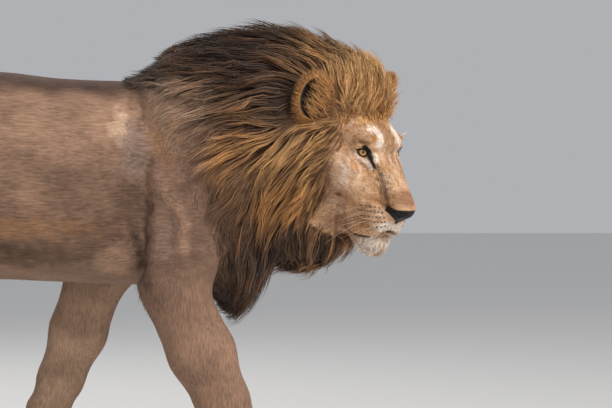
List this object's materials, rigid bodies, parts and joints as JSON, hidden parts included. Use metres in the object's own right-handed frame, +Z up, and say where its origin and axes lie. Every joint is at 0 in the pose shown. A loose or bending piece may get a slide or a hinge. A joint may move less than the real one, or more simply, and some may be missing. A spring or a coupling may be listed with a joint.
{
  "type": "male lion",
  "caption": "Full-grown male lion in mid walk, head turned to its right, with a full dark and golden mane and a tufted tail.",
  "frame": {"origin": "on the floor, below the middle of the bounding box", "axes": "+X forward along the body towards the head, +Y to the lion's left, +Z up"},
  "size_m": [2.2052, 0.503, 1.2493],
  "materials": {
    "coat": "short tan fur lying back along the body",
    "pale_coat": "short pale tan fur",
    "face_coat": "very short tan fur, whitish round the eyes and on the chin",
    "ear_coat": "short golden brown fur, dark inside the ear",
    "golden_mane": "long coarse golden hair",
    "mane": "long coarse brown hair",
    "dark_mane": "long blackish brown hair",
    "eye": "wet amber eye with a round pupil"
  },
  "bodies": {
    "root": {"trunk": "coat", "neck": "mane", "breast": "dark_mane", "mane_crown": "golden_mane", "head": "face_coat", "tail": "coat", "tail_tuft": "dark_mane", "eye_right": "eye", "ear_right": "ear_coat", "foreleg_right": "coat", "forepaw_right": "pale_coat", "hindleg_right": "coat", "hindpaw_right": "pale_coat", "eye_left": "eye", "ear_left": "ear_coat", "foreleg_left": "coat", "forepaw_left": "pale_coat", "hindleg_left": "coat", "hindpaw_left": "pale_coat"}
  },
  "joints": []
}
